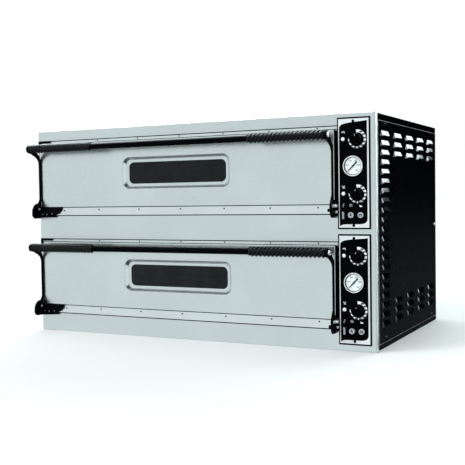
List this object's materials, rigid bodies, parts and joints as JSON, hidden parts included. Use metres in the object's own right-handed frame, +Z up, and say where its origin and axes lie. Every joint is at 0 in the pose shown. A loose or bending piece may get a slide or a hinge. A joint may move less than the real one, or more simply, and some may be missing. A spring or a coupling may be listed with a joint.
{
  "type": "pizza oven",
  "caption": "Two-deck electric pizza oven for a worktop, with drop-down window doors on spiral-grip handles, a control panel for each deck and a louvred black side.",
  "frame": {"origin": "centre of the cabinet's underside, where it rests on a worktop", "axes": "+X to the right along the front, +Y from the doors to the rear, +Z up"},
  "size_m": [1.315, 0.8536, 0.745],
  "materials": {
    "fascia_steel": "satin",
    "trim_steel": "satin",
    "door_steel": "satin",
    "liner_steel": "satin",
    "chamber_steel": "satin",
    "case_paint": "gloss",
    "arm_casting": "satin",
    "bar_steel": "satin",
    "grip_plastic": "satin",
    "knob_plastic": "satin",
    "panel_plate": "satin",
    "door_glass": "gloss",
    "baking_stone": "matte",
    "element_steel": "matte",
    "mineral_wool": "matte",
    "dial_enamel": "satin",
    "needle_black": "matte",
    "switch_plastic": "gloss",
    "inner_plastic": "matte"
  },
  "bodies": {
    "cabinet": {"front_frame": "fascia_steel", "left_side_panel": "case_paint", "right_side_panel": "case_paint", "top_panel": "case_paint", "base_panel": "case_paint", "rear_panel": "case_paint", "partition_wall": "chamber_steel", "cable_gland": "inner_plastic", "lower_chamber": "chamber_steel", "lower_baking_stone": "baking_stone", "lower_insulation": "mineral_wool", "lower_mouth_frame": "trim_steel", "lower_bottom_element": "element_steel", "lower_top_element": "element_steel", "lower_left_hinge_bracket": "arm_casting", "lower_right_hinge_bracket": "arm_casting", "lower_control_panel": "panel_plate", "lower_control_module": "inner_plastic", "lower_thermometer_case": "dial_enamel", "upper_chamber": "chamber_steel", "upper_baking_stone": "baking_stone", "upper_insulation": "mineral_wool", "upper_mouth_frame": "trim_steel", "upper_bottom_element": "element_steel", "upper_top_element": "element_steel", "upper_left_hinge_bracket": "arm_casting", "upper_right_hinge_bracket": "arm_casting", "upper_control_panel": "panel_plate", "upper_control_module": "inner_plastic", "upper_thermometer_case": "dial_enamel"},
    "lower_door": {"lower_door_skin": "door_steel", "lower_door_liner": "liner_steel", "lower_door_core": "mineral_wool", "lower_door_glass": "door_glass", "lower_left_arm": "arm_casting", "lower_right_arm": "arm_casting", "lower_handle_bar": "bar_steel", "lower_left_grip": "grip_plastic", "lower_right_grip": "grip_plastic"},
    "lower_ceiling_knob": {"lower_ceiling_knob": "knob_plastic"},
    "lower_floor_knob": {"lower_floor_knob": "knob_plastic"},
    "lower_needle": {"lower_thermometer_needle": "needle_black"},
    "lower_rocker": {"lower_rocker_switch": "switch_plastic"},
    "lower_start_button": {"lower_start_button": "switch_plastic"},
    "lower_stop_button": {"lower_stop_button": "switch_plastic"},
    "upper_door": {"upper_door_skin": "door_steel", "upper_door_liner": "liner_steel", "upper_door_core": "mineral_wool", "upper_door_glass": "door_glass", "upper_left_arm": "arm_casting", "upper_right_arm": "arm_casting", "upper_handle_bar": "bar_steel", "upper_left_grip": "grip_plastic", "upper_right_grip": "grip_plastic"},
    "upper_ceiling_knob": {"upper_ceiling_knob": "knob_plastic"},
    "upper_floor_knob": {"upper_floor_knob": "knob_plastic"},
    "upper_needle": {"upper_thermometer_needle": "needle_black"},
    "upper_rocker": {"upper_rocker_switch": "switch_plastic"},
    "upper_start_button": {"upper_start_button": "switch_plastic"},
    "upper_stop_button": {"upper_stop_button": "switch_plastic"}
  },
  "joints": [
    {"name": "lower_door_hinge", "type": "hinge", "parent": "cabinet", "child": "lower_door", "pos_m": [0, -0.4055, 0.091], "axis": [1, 0, 0], "range_deg": [0, 90]},
    {"name": "lower_ceiling_knob_turn", "type": "hinge", "parent": "cabinet", "child": "lower_ceiling_knob", "pos_m": [0.596, -0.4015, 0.3], "axis": [0, 1, 0], "range_deg": [0, 285]},
    {"name": "lower_floor_knob_turn", "type": "hinge", "parent": "cabinet", "child": "lower_floor_knob", "pos_m": [0.596, -0.4015, 0.13], "axis": [0, 1, 0], "range_deg": [0, 285]},
    {"name": "lower_needle_turn", "type": "hinge", "parent": "cabinet", "child": "lower_needle", "pos_m": [0.582, -0.3927, 0.2165], "axis": [0, 1, 0], "range_deg": [0, 270]},
    {"name": "lower_rocker_tilt", "type": "hinge", "parent": "cabinet", "child": "lower_rocker", "pos_m": [0.549, -0.3875, 0.064], "axis": [-1, 0, 0], "range_deg": [0, 20]},
    {"name": "lower_start_press", "type": "slide", "parent": "cabinet", "child": "lower_start_button", "axis": [0, 1, 0], "range_m": [0, 0.003], "stiffness_N_per_m": 300},
    {"name": "lower_stop_press", "type": "slide", "parent": "cabinet", "child": "lower_stop_button", "axis": [0, 1, 0], "range_m": [0, 0.003], "stiffness_N_per_m": 300},
    {"name": "upper_door_hinge", "type": "hinge", "parent": "cabinet", "child": "upper_door", "pos_m": [0, -0.4055, 0.455], "axis": [1, 0, 0], "range_deg": [0, 90]},
    {"name": "upper_ceiling_knob_turn", "type": "hinge", "parent": "cabinet", "child": "upper_ceiling_knob", "pos_m": [0.596, -0.4015, 0.664], "axis": [0, 1, 0], "range_deg": [0, 285]},
    {"name": "upper_floor_knob_turn", "type": "hinge", "parent": "cabinet", "child": "upper_floor_knob", "pos_m": [0.596, -0.4015, 0.494], "axis": [0, 1, 0], "range_deg": [0, 285]},
    {"name": "upper_needle_turn", "type": "hinge", "parent": "cabinet", "child": "upper_needle", "pos_m": [0.582, -0.3927, 0.5805], "axis": [0, 1, 0], "range_deg": [0, 270]},
    {"name": "upper_rocker_tilt", "type": "hinge", "parent": "cabinet", "child": "upper_rocker", "pos_m": [0.549, -0.3875, 0.428], "axis": [-1, 0, 0], "range_deg": [0, 20]},
    {"name": "upper_start_press", "type": "slide", "parent": "cabinet", "child": "upper_start_button", "axis": [0, 1, 0], "range_m": [0, 0.003], "stiffness_N_per_m": 300},
    {"name": "upper_stop_press", "type": "slide", "parent": "cabinet", "child": "upper_stop_button", "axis": [0, 1, 0], "range_m": [0, 0.003], "stiffness_N_per_m": 300}
  ]
}
